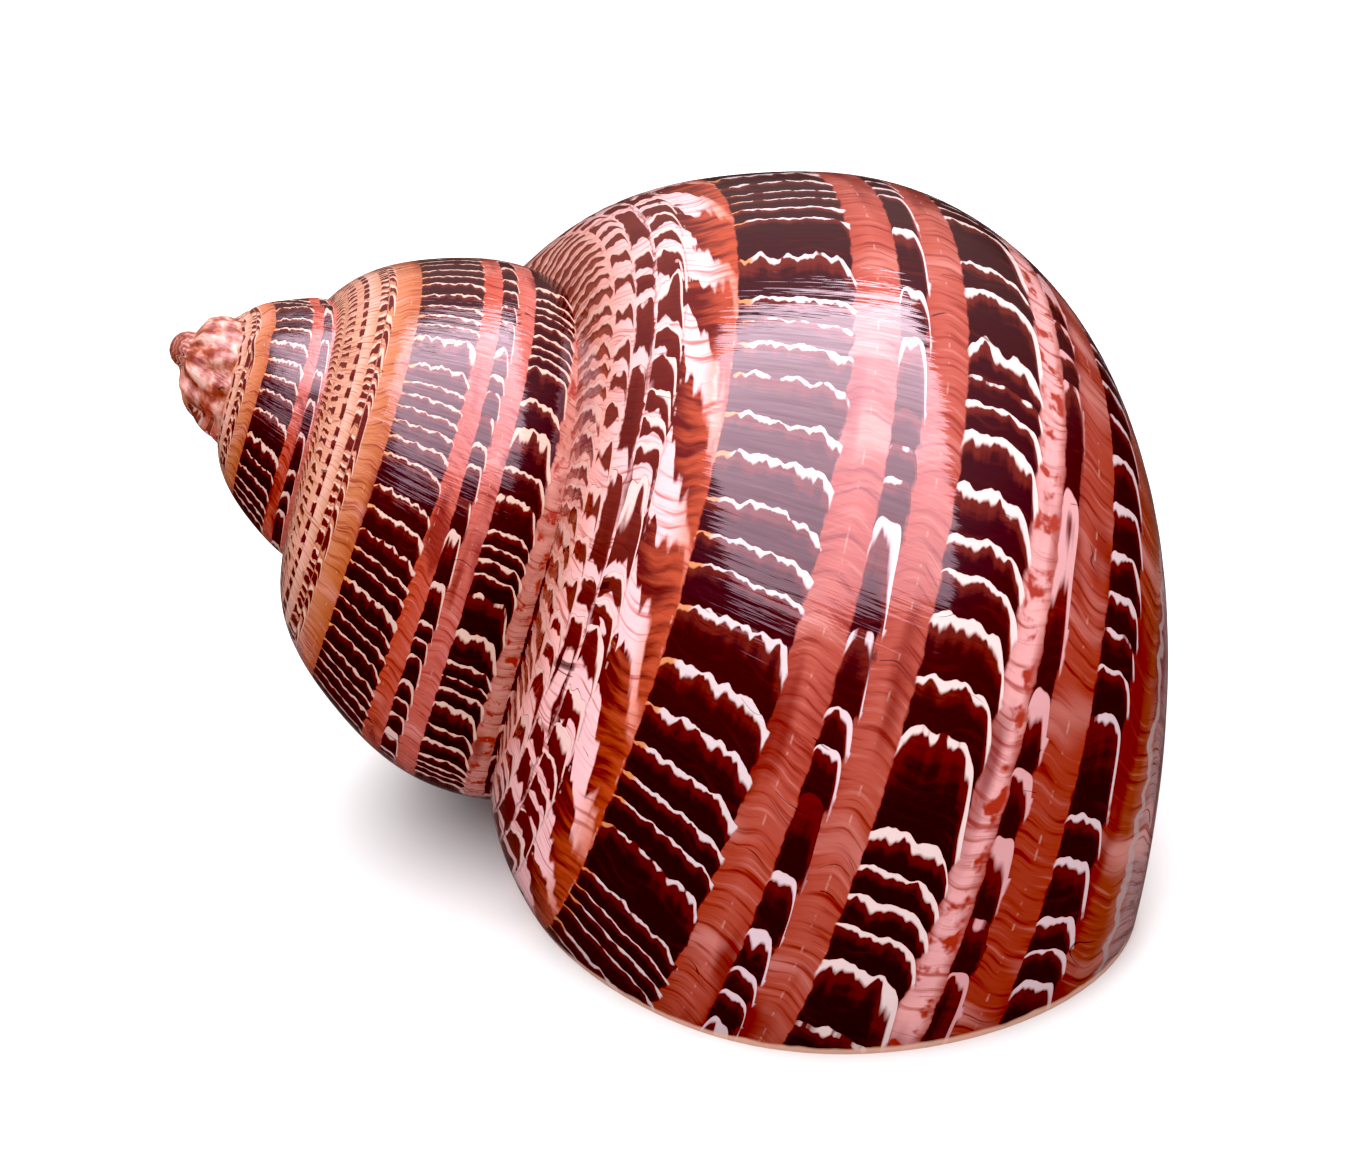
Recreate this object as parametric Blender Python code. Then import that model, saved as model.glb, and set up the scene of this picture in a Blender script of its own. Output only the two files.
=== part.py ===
"""Tapestry turban shell, one coiled piece lying on its aperture: metres, +Z up, apex towards -X."""

import math

import bmesh
import bpy
import numpy as np
from mathutils import Matrix, Vector

MM = 0.001
TURN = 2 * math.pi

# The tube at the lip: how far its middle is from the coiling axis and below the apex, and its radius.
TUBE_FROM_AXIS = 16.91 * MM
TUBE_FROM_APEX = 50.59 * MM
TUBE_RADIUS = 20.45 * MM

# Growth over one turn, as the natural log of size: a steady rate, then how it changes with the turns.
RADIUS_GROWTH = (0.8779, 0.065, 0.0695)
DEPTH_GROWTH = (1.1597, 0.33, 0.0719)
TUBE_GROWTH = (0.89, 0.2633, 0.0496)

# The last stretch of tube closes in towards the lip: where it starts, and the log of the change at the lip.
LIP_PULL_START = -1.8
RADIUS_PULL = -0.362
DEPTH_PULL = -0.135
TUBE_PULL = -0.111

# What makes the tube's outline differ from a circle: (waves round it, cosine share, sine share).
OUTLINE = ((2, -0.0105, 0.1017), (3, -0.0858, -0.014), (4, 0.0409, 0.002))

# The coiling axis bows a little: its curvature towards the section at the lip, and square to it.
AXIS_CURVE = (0.58, -3.26)

# The wall, where the living chamber starts, and how near the axis it comes.
WALL = 2.2 * MM
LIP_WALL = 1.5 * MM
CHAMBER_START = -3.5
CHAMBER_ROUNDING = 0.45
CHAMBER_FROM_AXIS = 2.4 * MM

# The base is filled out towards the axis: by how much at most, the angles where that comes in and has gone
# again, and the stretch round the outline where it sets in and ends.
BASE_FILL = 13 * MM
FILL_ANGLES = (-5.1, -4.3, -2.6, -0.2)
FILL_AROUND = (1.3, 2.6, 3.0, 3.9)

# The pillar, widened on its lower side into the inner lip. In millimetres: depth below the apex, half its
# width, and its reach past the axis on the side away from the ground and on the side towards it.
PILLAR = (
    (26, 2.2, 1.0, 5.0),
    (34, 4.2, 2.2, 9.5),
    (41, 4.6, 2.6, 9.5),
    (47, 4.3, 2.4, 7.4),
    (51, 3.8, 2.1, 5.4),
    (54, 3.0, 1.7, 3.7),
    (56, 2.0, 1.2, 2.6),
    (57, 0.9, 0.5, 1.6),
)
PILLAR_SIDES = 20

# The angles round the axis where the coil starts and ends, in radians from the lip's side.
COIL_TURNS = 4
COIL_END = 1.2

# How it lies: the apex is raised, and the shell is turned about its own axis onto its lip.
APEX_RAISED = math.radians(30.0)
LIP_TURNED = math.radians(124.2)
APEX_HEIGHT = 29.8 * MM

# Mesh steps: rows in a turn, and columns over the open part of a whorl and over the base.
ROWS = 40
WHORL_COLUMNS = 9
BASE_COLUMNS = 13
TUBE_COLUMNS = 28


def grown(rates, pull, angle):
    """Size at this angle against the size at the lip."""
    turns = angle / TURN
    steady = rates[0] * turns + rates[1] * turns**2 + rates[2] * turns**3
    close_to_lip = max(0.0, 1 - angle / LIP_PULL_START) ** 2
    return math.exp(steady + pull * close_to_lip)


def eased(share):
    share = min(1.0, max(0.0, share))
    return share * share * (3 - 2 * share)


def between(value, stops):
    """Rises from 0 to 1 between the first two stops and falls back between the last two."""
    rise = eased((value - stops[0]) / (stops[1] - stops[0]))
    return rise * eased((stops[3] - value) / (stops[3] - stops[2]))


def section(angle, around, inset=0.0):
    """Distance from the axis and depth below the apex, on the tube's outline; around is 0 on the outer side."""
    radius = TUBE_RADIUS
    for waves, cosine, sine in OUTLINE:
        radius += TUBE_RADIUS * (cosine * math.cos(waves * around) + sine * math.sin(waves * around))
    radius = radius * grown(TUBE_GROWTH, TUBE_PULL, angle) - inset
    out = TUBE_FROM_AXIS * grown(RADIUS_GROWTH, RADIUS_PULL, angle) + radius * math.cos(around)
    down = TUBE_FROM_APEX * grown(DEPTH_GROWTH, DEPTH_PULL, angle) + radius * math.sin(around)
    down += BASE_FILL * between(angle, FILL_ANGLES) * between(around, FILL_AROUND)
    return np.array((out, down))


def placed(angle, out, down):
    """The point at this angle round the bowed axis, in the shell's own frame: apex at the top, z downwards."""
    x = out * math.cos(angle)
    y = out * math.sin(angle)
    rise = TUBE_FROM_APEX - down
    lean = AXIS_CURVE[0] * x + AXIS_CURVE[1] * y
    return Vector((
        x + AXIS_CURVE[0] * rise**2 / 2,
        y + AXIS_CURVE[1] * rise**2 / 2,
        down + lean * rise,
    ))


def suture(angle, guess):
    """Where the whorl at this angle meets the next one: the around values on this whorl and on the next."""
    values = np.array(guess)
    step = 1e-5
    for _ in range(30):
        gap = section(angle, values[0]) - section(angle + TURN, values[1])
        slope_here = (section(angle, values[0] + step) - section(angle, values[0])) / step
        slope_next = (section(angle + TURN, values[1] + step) - section(angle + TURN, values[1])) / step
        change = np.linalg.solve(np.column_stack((slope_here, -slope_next)), gap)
        values -= np.clip(change, -0.2, 0.2)
    return values


def pillar_meets_base(angle):
    """The around value where the outline comes back to the axis on the base side."""
    low, high = math.pi / 2, math.pi
    for _ in range(40):
        middle = (low + high) / 2
        if section(angle, middle)[0] > 0.06 * MM:
            low = middle
        else:
            high = middle
    return low


def new_object(name, mesh_maker, collection):
    mesh = bpy.data.meshes.new(name)
    build = bmesh.new()
    mesh_maker(build)
    bmesh.ops.recalc_face_normals(build, faces=build.faces)
    build.to_mesh(mesh)
    build.free()
    made = bpy.data.objects.new(name, mesh)
    collection.objects.link(made)
    return made


def coil(build):
    """The whole shell as one solid: a strip that winds from the apex to the lip, and on round the base."""
    covered = ROWS * (COIL_TURNS - 1)
    last = ROWS * COIL_TURNS
    angles = [COIL_END - TURN * (last - i) / ROWS for i in range(last + 1)]

    # The lower edge of each covered row is the upper edge of the row one turn on.
    edges = {}
    guess = (0.5, -1.3)
    for i in range(covered, -1, -1):
        guess = suture(angles[i], guess)
        edges[i] = guess
    upper = {}
    for i in range(last + 1):
        if i >= ROWS:
            upper[i] = edges[i - ROWS][1]
        else:
            share = i / ROWS
            upper[i] = (1 - share) * -math.pi / 2 + share * edges[0][1]

    def vertex(i, around):
        return build.verts.new(placed(angles[i], *section(angles[i], around)))

    rows = []
    for i in range(last + 1):
        lower = edges[i][0] if i <= covered else edges[covered][0]
        arounds = [upper[i] + (lower - upper[i]) * j / WHORL_COLUMNS for j in range(WHORL_COLUMNS + 1)]
        rows.append([vertex(i, around) for around in arounds])
        if i >= ROWS:
            build.verts.remove(rows[i][0])
            rows[i][0] = rows[i - ROWS][WHORL_COLUMNS]
        if i >= covered:
            end = pillar_meets_base(angles[i])
            rows[i] += [vertex(i, lower + (end - lower) * j / BASE_COLUMNS) for j in range(1, BASE_COLUMNS + 1)]
    for i in range(last):
        columns = WHORL_COLUMNS if i < covered else WHORL_COLUMNS + BASE_COLUMNS
        for j in range(columns):
            build.faces.new((rows[i][j], rows[i][j + 1], rows[i + 1][j + 1], rows[i + 1][j]))

    # The apex closes on its highest point.
    rim = [rows[i][0] for i in range(ROWS + 1)] + rows[0][-2:0:-1]
    for first, second in zip(rim[1:], rim[2:]):
        build.faces.new((rim[0], first, second))

    # The base closes on the axis, and the mouth is still flat and shut here.
    middle = [
        build.verts.new(placed(0, 0, section(angles[i], pillar_meets_base(angles[i]))[1]))
        for i in range(covered, last + 1)
    ]
    for step in range(last - covered):
        i = covered + step
        build.faces.new((rows[i][-1], middle[step], middle[step + 1], rows[i + 1][-1]))
    build.faces.new(rows[last] + middle[::-1] + rows[covered][:WHORL_COLUMNS:-1])


def tube(first, last, inset, from_axis, shrink_start=0.0):
    """Makes a closed stretch of the tube, kept off the axis."""
    def maker(build):
        count = math.ceil((last - first) / TURN * ROWS)
        rings = []
        for i in range(count + 1):
            angle = first + (last - first) * i / count
            rounding = 1.0
            if shrink_start:
                start = min(1.0, (angle - first) / shrink_start)
                rounding = 0.25 + 0.75 * math.sqrt(start * (2 - start))
            size = grown(TUBE_GROWTH, TUBE_PULL, angle)
            middle = section(angle, 0) / 2 + section(angle, math.pi) / 2
            ring = []
            for j in range(TUBE_COLUMNS):
                point = section(angle, TURN * j / TUBE_COLUMNS, inset(angle))
                out, down = middle + (point - middle) * rounding
                ring.append(build.verts.new(placed(angle, max(out, from_axis * size), down)))
            rings.append(ring)
        for here, after in zip(rings, rings[1:]):
            for j in range(TUBE_COLUMNS):
                k = (j + 1) % TUBE_COLUMNS
                build.faces.new((here[j], here[k], after[k], after[j]))
        build.faces.new(rings[0])
        build.faces.new(rings[-1][::-1])
    return maker


def wall_at(angle):
    """Wall thickness, from the lip's to the full one where the chamber starts."""
    share = min(1.0, max(0.0, angle / CHAMBER_START))
    return LIP_WALL + (WALL - LIP_WALL) * share


def pillar(build):
    """The pillar that the whorls wind round, with the inner lip along its lower side."""
    downward = math.pi - LIP_TURNED
    rings = []
    for depth, half_width, above, below in PILLAR:
        ring = []
        for j in range(PILLAR_SIDES):
            turned = TURN * j / PILLAR_SIDES
            reach = (below - above) / 2 + (below + above) / 2 * math.cos(turned)
            across = half_width * math.sin(turned)
            angle = downward + math.atan2(across, reach)
            ring.append(build.verts.new(placed(angle, math.hypot(across, reach) * MM, depth * MM)))
        rings.append(ring)
    for here, after in zip(rings, rings[1:]):
        for j in range(PILLAR_SIDES):
            k = (j + 1) % PILLAR_SIDES
            build.faces.new((here[j], here[k], after[k], after[j]))
    build.faces.new(rings[0])
    build.faces.new(rings[-1][::-1])


def lay_down(made):
    """Turns the shell about its axis and lays it on its mouth, with the apex raised towards -X."""
    along = Vector((math.cos(APEX_RAISED), 0, -math.sin(APEX_RAISED)))
    upward = Vector((math.sin(APEX_RAISED), 0, math.cos(APEX_RAISED)))
    side = along.cross(upward)
    first = upward * math.cos(LIP_TURNED) + side * math.sin(LIP_TURNED)
    second = side * math.cos(LIP_TURNED) - upward * math.sin(LIP_TURNED)
    turned = Matrix((first, second, along)).transposed().to_4x4()
    made.data.transform(Matrix.Translation((0, 0, APEX_HEIGHT)) @ turned)


def joined(target, other, operation):
    # The exact solver loses whole whorls where these surfaces nearly touch, and all of them are closed.
    step = target.modifiers.new(operation.lower() + "_" + other.name, "BOOLEAN")
    step.object = other
    step.operation = operation
    step.solver = "MANIFOLD"


def shell_material():
    made = bpy.data.materials.new("polished_shell")
    made.use_nodes = True
    surface = made.node_tree.nodes["Principled BSDF"]
    surface.inputs["Base Color"].default_value = (0.32, 0.07, 0.045, 1)
    surface.inputs["Roughness"].default_value = 0.22
    surface.inputs["Metallic"].default_value = 0.0
    return made


def main():
    for old in list(bpy.data.objects):
        bpy.data.objects.remove(old)
    parts = bpy.data.collections.new("tapestry_turban_shell")
    cutters = bpy.data.collections.new("cutters")
    for collection in (parts, cutters):
        bpy.context.scene.collection.children.link(collection)

    shell = new_object("shell", coil, parts)
    chamber_tube = tube(CHAMBER_START, COIL_END + 0.15, wall_at, CHAMBER_FROM_AXIS, CHAMBER_ROUNDING)
    chamber = new_object("chamber", chamber_tube, cutters)
    whorl_tube = tube(CHAMBER_START - TURN - 0.3, COIL_END - TURN + 0.1, lambda _: 0.1 * MM, 0.2 * MM)
    inner_whorl = new_object("inner_whorl", whorl_tube, cutters)
    core = new_object("pillar", pillar, cutters)
    for made in (shell, chamber, inner_whorl, core):
        lay_down(made)
    bpy.ops.mesh.primitive_cube_add(size=0.2, location=(0, 0, -0.1))
    ground = bpy.context.object
    ground.name = "ground"
    for collection in list(ground.users_collection):
        collection.objects.unlink(ground)
    cutters.objects.link(ground)
    for cutter in (chamber, inner_whorl, core, ground):
        cutter.hide_render = True
        cutter.display_type = "WIRE"

    joined(shell, chamber, "DIFFERENCE")
    joined(shell, inner_whorl, "UNION")
    joined(shell, core, "UNION")
    joined(shell, ground, "DIFFERENCE")

    # The origin is the middle of the box that the shell fills, at the height of the lip's rim.
    bpy.context.view_layer.update()
    finished = shell.evaluated_get(bpy.context.evaluated_depsgraph_get())
    corners = [Vector(corner) for corner in finished.bound_box]
    low = Vector(map(min, *corners))
    high = Vector(map(max, *corners))
    shift = Vector((-(low.x + high.x) / 2, -(low.y + high.y) / 2, 0))
    for made in (shell, chamber, inner_whorl, core, ground):
        made.location += shift
    print("shell box", [round(side / MM, 2) for side in high - low], "moved by", [round(s / MM, 3) for s in shift])

    shell.data.materials.append(shell_material())
    shell.data.shade_smooth()
    shell.data.set_sharp_from_angle(angle=math.radians(40))


main()
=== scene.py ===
import math

import bmesh
import bpy
import numpy as np
from mathutils import Matrix, Vector


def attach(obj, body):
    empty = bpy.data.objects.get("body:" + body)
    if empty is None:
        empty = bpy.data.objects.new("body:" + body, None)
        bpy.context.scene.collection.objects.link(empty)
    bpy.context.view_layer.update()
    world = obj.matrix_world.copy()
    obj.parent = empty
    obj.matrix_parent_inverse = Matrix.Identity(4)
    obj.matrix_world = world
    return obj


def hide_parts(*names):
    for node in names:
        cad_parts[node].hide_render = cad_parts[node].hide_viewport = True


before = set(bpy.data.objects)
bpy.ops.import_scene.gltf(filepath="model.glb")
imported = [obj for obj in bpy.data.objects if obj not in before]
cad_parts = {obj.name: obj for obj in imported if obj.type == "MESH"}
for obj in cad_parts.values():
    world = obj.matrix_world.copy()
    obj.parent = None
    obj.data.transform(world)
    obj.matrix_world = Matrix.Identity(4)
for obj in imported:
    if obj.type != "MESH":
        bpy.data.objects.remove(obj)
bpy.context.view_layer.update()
scene = bpy.context.scene
mm = 0.001
turn = 2 * math.pi

# The shell's growth, the same law as the solid's. Lengths in mm, growth as the log of size per turn.
growth = {
    "tubeFromAxis": 16.91, "tubeFromApex": 50.59, "tubeRadius": 20.45, "axisRates": (0.8779, 0.065, 0.0695),
    "depthRates": (1.1597, 0.33, 0.0719), "tubeRates": (0.89, 0.2633, 0.0496),
    "pullStart": -1.8, "axisPull": -0.362, "depthPull": -0.135, "tubePull": -0.111,  # closing in at the lip
    "outline": ((2, -0.0105, 0.1017), (3, -0.0858, -0.014), (4, 0.0409, 0.002)),
    "axisCurve": (0.00058, -0.00326),
    "tipLumps": 0.05, "lumpsFrom": -13, "lumpsOver": 4,           # the oldest whorls are lumpy,
    "tipCreases": 0.14, "creasesFrom": -11, "creasesOver": 7,     # with deeper sutures: slimmer,
    "creaseShift": (0.79, -0.62),                                 # and moved out from the cone
    "knobDepth": 0.5, "knobRadius": 1.12, "knobRings": 5, "knobBlend": (-0.35, 0.15),   # the worn tip
    "baseFill": 13.0, "fillAngles": (-5.1, -4.3, -2.6, -0.2), "fillAround": (1.3, 2.6, 3.0, 3.9),
}
lie = {"apexRaised": 30.0, "lipTurned": 124.2, "apexHeight": 29.8, "shift": (-28.858, 4.048)}
mesh = {"turns": 4, "end": 1.2, "rows": 320, "whorlColumns": 36, "baseColumns": 40, "tubeColumns": 84}
mouth = {"wall": 2.2, "lipWall": 1.5, "chamberStart": -3.5, "rounding": 0.45, "fromAxis": 2.4,
         "roundedEdge": 0.3}
# The pillar and inner lip in mm: depth below the apex, half width, reach away from the ground and to it.
pillar = {
    "sides": 48, "steps": 60,
    "rings": ((26, 2.2, 1.0, 5.0), (34, 4.2, 2.2, 9.5), (41, 4.6, 2.6, 9.5), (47, 4.3, 2.4, 7.4),
              (51, 3.8, 2.1, 5.4), (54, 3.0, 1.7, 3.7), (56, 2.0, 1.2, 2.6), (57, 0.9, 0.5, 1.6)),
}


def grown(rates, pull, angle):
    turns = angle / turn
    steady = rates[0] * turns + rates[1] * turns**2 + rates[2] * turns**3
    return np.exp(steady + pull * np.maximum(0.0, 1 - angle / growth["pullStart"]) ** 2)


def between(value, stops):  # rises to 1 between the first two stops, falls back between the last two
    rise = np.clip((value - stops[0]) / (stops[1] - stops[0]), 0, 1)
    fall = np.clip((stops[3] - value) / (stops[3] - stops[2]), 0, 1)
    return rise**2 * (3 - 2 * rise) * fall**2 * (3 - 2 * fall)


def section(angle, around, inset=0.0):  # out from the axis and down from the apex, in mm
    g = growth
    radius = 1.0
    for waves, cosine, sine in g["outline"]:
        radius = radius + cosine * np.cos(waves * around) + sine * np.sin(waves * around)
    lumps = np.sin(8 * angle + 2) * np.sin(5 * around) + 0.7 * np.sin(13 * angle + 3 * around)
    radius = radius * (1 + g["tipLumps"] * lumps * np.clip((g["lumpsFrom"] - angle) / g["lumpsOver"], 0, 1))
    slimmer = g["tipCreases"] * np.clip((g["creasesFrom"] - angle) / g["creasesOver"], 0, 1)
    size = g["tubeRadius"] * grown(g["tubeRates"], g["tubePull"], angle)
    radius = size * radius * (1 - slimmer) - inset
    out = g["tubeFromAxis"] * grown(g["axisRates"], g["axisPull"], angle) + radius * np.cos(around)
    down = g["tubeFromApex"] * grown(g["depthRates"], g["depthPull"], angle) + radius * np.sin(around)
    out = out + g["creaseShift"][0] * slimmer * size
    down = down + g["creaseShift"][1] * slimmer * size
    return out, down + g["baseFill"] * between(angle, g["fillAngles"]) * between(around, g["fillAround"])


def placed(angle, out, down):  # into the frame's metres, lying on the mouth
    x, y = out * np.cos(angle), out * np.sin(angle)
    rise = growth["tubeFromApex"] - down
    bendX, bendY = growth["axisCurve"]
    bent = down + (bendX * x + bendY * y) * rise
    own = np.stack([x + bendX * rise**2 / 2, y + bendY * rise**2 / 2, bent], -1)
    tilt, roll = math.radians(lie["apexRaised"]), math.radians(lie["lipTurned"])
    along = np.array((math.cos(tilt), 0, -math.sin(tilt)))
    upward = np.array((math.sin(tilt), 0, math.cos(tilt)))
    side = np.cross(along, upward)
    first = upward * math.cos(roll) + side * math.sin(roll)
    second = side * math.cos(roll) - upward * math.sin(roll)
    return (own @ np.stack([first, second, along]) + (*lie["shift"], lie["apexHeight"])) * mm


def suture(angle, guess):  # around values where this whorl meets the next one
    values = np.array(guess)
    step = 1e-5
    for _ in range(8):
        here, after = np.array(section(angle, values[0])), np.array(section(angle + turn, values[1]))
        slopeHere = (np.array(section(angle, values[0] + step)) - here) / step
        slopeAfter = (np.array(section(angle + turn, values[1] + step)) - after) / step
        change = np.linalg.solve(np.column_stack((slopeHere, -slopeAfter)), here - after)
        values -= np.clip(change, -0.2, 0.2)
    return values


def meetsAxis(angle):  # around value where the base comes back to the axis
    low, high = np.full_like(angle, math.pi / 2), np.full_like(angle, math.pi)
    for _ in range(30):
        middle = (low + high) / 2
        outside = section(angle, middle)[0] > 0.06
        low, high = np.where(outside, middle, low), np.where(outside, high, middle)
    return low


def meshOf(name, points, faces, spiral, slots):
    data = bpy.data.meshes.new(name)
    data.from_pydata([tuple(p) for p in points], [], faces)
    layer = data.uv_layers.new(name="spiral")
    layer.data.foreach_set("uv", np.array([uv for face in spiral for uv in face], np.float32).ravel())
    data.polygons.foreach_set("material_index", np.array(slots, np.int32))
    made = bpy.data.objects.new(name, data)
    scene.collection.objects.link(made)
    build = bmesh.new()
    build.from_mesh(data)
    bmesh.ops.recalc_face_normals(build, faces=build.faces)
    build.to_mesh(data)
    build.free()
    return made


def roundTip(points):  # the part above the knob's middle goes onto a ball
    middle = placed(0.0, 0.0, growth["knobDepth"])
    apex = placed(0.0, 0.0, growth["knobDepth"] - 1)
    away = points - middle
    height = away @ (apex - middle) / mm**2
    low, high = growth["knobBlend"]
    share = np.clip((height - low) / (high - low), 0, 1)[:, None]
    share = share**2 * (3 - 2 * share)
    distance = np.maximum(1e-9, np.linalg.norm(away, axis=1, keepdims=True))
    onBall = away / distance * growth["knobRadius"] * mm
    return middle + away * (1 - share) + onBall * share


def coil():
    rows, whorl, base = mesh["rows"], mesh["whorlColumns"], mesh["baseColumns"]
    last = rows * mesh["turns"]
    covered = last - rows
    angles = mesh["end"] - turn * (last - np.arange(last + 1)) / rows
    edges, guess = {}, (0.5, -1.3)
    for i in range(covered, -1, -1):
        guess = suture(angles[i], guess)
        edges[i] = guess
    upper = np.array([
        edges[i - rows][1] if i >= rows else -math.pi / 2 + (edges[0][1] + math.pi / 2) * i / rows
        for i in range(last + 1)
    ])
    lower = np.array([edges[min(i, covered)][0] for i in range(last + 1)])
    share = np.arange(whorl + 1) / whorl
    around = upper[:, None] + (lower - upper)[:, None] * share
    ends = meetsAxis(angles[covered:])
    aroundBase = lower[covered:, None] + (ends - lower[covered:])[:, None] * np.arange(1, base + 1) / base

    points = []
    ids = np.zeros((last + 1, whorl + base + 1), int)
    arounds = np.zeros((last + 1, whorl + base + 1))
    arounds[:, :whorl + 1] = around
    arounds[covered:, whorl + 1:] = aroundBase
    for i in range(last + 1):
        columns = range(0 if i < rows else 1, whorl + 1 + (base if i >= covered else 0))
        placedRow = placed(angles[i], *section(angles[i], arounds[i, columns.start:columns.stop]))
        if i >= rows:
            ids[i, 0] = ids[i - rows, whorl]
        ids[i, columns.start:columns.stop] = len(points) + np.arange(len(columns))
        points += list(placedRow)
    faces, spiral = [], []
    for i in range(last):
        for j in range(whorl if i < covered else whorl + base):
            faces.append((ids[i, j], ids[i, j + 1], ids[i + 1, j + 1], ids[i + 1, j]))
            spiral.append([
                (angles[i] / turn, arounds[i, j]), (angles[i] / turn, arounds[i, j + 1]),
                (angles[i + 1] / turn, arounds[i + 1, j + 1]), (angles[i + 1] / turn, arounds[i + 1, j]),
            ])
    rim = [ids[i, 0] for i in range(rows + 1)] + list(ids[0, whorl - 1:0:-1])
    rimPlace = [(angles[i] / turn, upper[i]) for i in range(rows + 1)]
    rimPlace += [(angles[0] / turn, around[0, j]) for j in range(whorl - 1, 0, -1)]
    tip, tipPlace, rings = np.array(points[rim[0]]), np.array(rimPlace[0]), growth["knobRings"]
    spokes, spokePlaces = [], []
    for vertex, place in zip(rim[2:-1], rimPlace[2:-1]):
        spokes.append([rim[0]] + [len(points) + k for k in range(rings - 1)] + [vertex])
        points += [tip + (np.array(points[vertex]) - tip) * k / rings for k in range(1, rings)]
        reach = np.array(place) - tipPlace
        spokePlaces.append([tuple(tipPlace + reach * k / rings) for k in range(rings + 1)])
    for one, two, onePlace, twoPlace in zip(spokes, spokes[1:], spokePlaces, spokePlaces[1:]):
        faces.append((rim[0], one[1], two[1]))
        spiral.append([onePlace[0], onePlace[1], twoPlace[1]])
        for k in range(1, rings):
            faces.append((one[k], one[k + 1], two[k + 1], two[k]))
            spiral.append([onePlace[k], onePlace[k + 1], twoPlace[k + 1], twoPlace[k]])
    for near, spoke, places in ((1, spokes[0], spokePlaces[0]), (-1, spokes[-1], spokePlaces[-1])):
        faces.append([rim[near]] + spoke[::-1])
        spiral.append([rimPlace[near]] + places[::-1])
    points = roundTip(np.array(points))
    depths = section(angles[covered:], ends)[1]
    middle = len(points) + np.arange(rows + 1)
    points = np.concatenate((points, placed(0.0, np.zeros(rows + 1), depths)))
    for k in range(rows):
        i = covered + k
        faces.append((ids[i, -1], middle[k], middle[k + 1], ids[i + 1, -1]))
        spiral.append([(angles[i] / turn, ends[k])] * 4)
    faces.append(tuple(ids[last]) + tuple(middle[::-1]) + tuple(ids[covered, :whorl:-1]))
    spiral.append([(0.2, 3.0)] * len(faces[-1]))
    return meshOf("shell_form", points, faces, spiral, [0] * len(faces))


# Closes a stack of rings; spiral holds each ring's UVs, one more than its points.
def loft(name, rings, spiral, slot):
    count, sides = len(rings), len(rings[0])
    faces, uvs = [], []
    for i in range(count - 1):
        for j in range(sides):
            k = (j + 1) % sides
            faces.append((i * sides + j, i * sides + k, (i + 1) * sides + k, (i + 1) * sides + j))
            uvs.append([spiral[i][j], spiral[i][j + 1], spiral[i + 1][j + 1], spiral[i + 1][j]])
    for i in (0, count - 1):
        faces.append(list(range(i * sides, (i + 1) * sides)))
        uvs.append(spiral[i][:sides])
    return meshOf(name, np.concatenate(rings), faces, uvs, [slot] * len(faces))


def tube(name, first, last, inset, fromAxis, rounding, slot):
    columns = mesh["tubeColumns"]
    count = math.ceil((last - first) / turn * mesh["rows"] * 0.5)
    around = turn * np.arange(columns + 1) / columns
    rings, spiral = [], []
    for angle in np.linspace(first, last, count + 1):
        size = grown(growth["tubeRates"], growth["tubePull"], angle)
        closing = 1.0
        if rounding:
            start = min(1.0, (angle - first) / rounding)
            closing = 0.25 + 0.75 * math.sqrt(start * (2 - start))
        middle = [(a + b) / 2 for a, b in zip(section(angle, 0.0), section(angle, math.pi))]
        out, down = section(angle, around[:-1], inset(angle))
        out = middle[0] + (out - middle[0]) * closing
        down = middle[1] + (down - middle[1]) * closing
        rings.append(placed(angle, np.maximum(out, fromAxis * size), down))
        spiral.append([(angle / turn, a) for a in around])
    return loft(name, rings, spiral, slot)


def pillarLoft():
    downward = math.pi - math.radians(lie["lipTurned"])
    stops = np.array(pillar["rings"])
    turned = turn * np.arange(pillar["sides"]) / pillar["sides"]
    rings = []
    for depth in np.linspace(stops[0, 0], stops[-1, 0], pillar["steps"]):
        halfWidth, above, below = (np.interp(depth, stops[:, 0], stops[:, k]) for k in (1, 2, 3))
        reach = (below - above) / 2 + (below + above) / 2 * np.cos(turned)
        across = halfWidth * np.sin(turned)
        rings.append(placed(downward + np.arctan2(across, reach), np.hypot(across, reach), depth))
    return loft("pillar", rings, [[(0.0, 3.0)] * (pillar["sides"] + 1)] * len(rings), 1)


def joined(target, other, operation):
    step = target.modifiers.new(operation.lower(), "BOOLEAN")
    step.object = other
    step.operation = operation
    step.solver = "MANIFOLD"
    bpy.context.view_layer.objects.active = target
    bpy.ops.object.modifier_apply(modifier=step.name)
    bpy.data.objects.remove(other)


def wallAt(angle):
    share = min(1.0, max(0.0, angle / mouth["chamberStart"]))
    return mouth["lipWall"] + (mouth["wall"] - mouth["lipWall"]) * share


def roundRim(made, width):  # takes the sharp corner off the rim that rests on the floor
    build = bmesh.new()
    build.from_mesh(made.data)
    flat = {face for face in build.faces if face.normal.z < -0.999 and face.calc_center_median().z < 1e-6}
    edges = [edge for edge in build.edges if len(edge.link_faces) == 2 and
             sum(face in flat for face in edge.link_faces) == 1]
    bmesh.ops.bevel(build, geom=edges, offset=width, segments=3, affect="EDGES", clamp_overlap=True)
    build.to_mesh(made.data)
    build.free()


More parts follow.
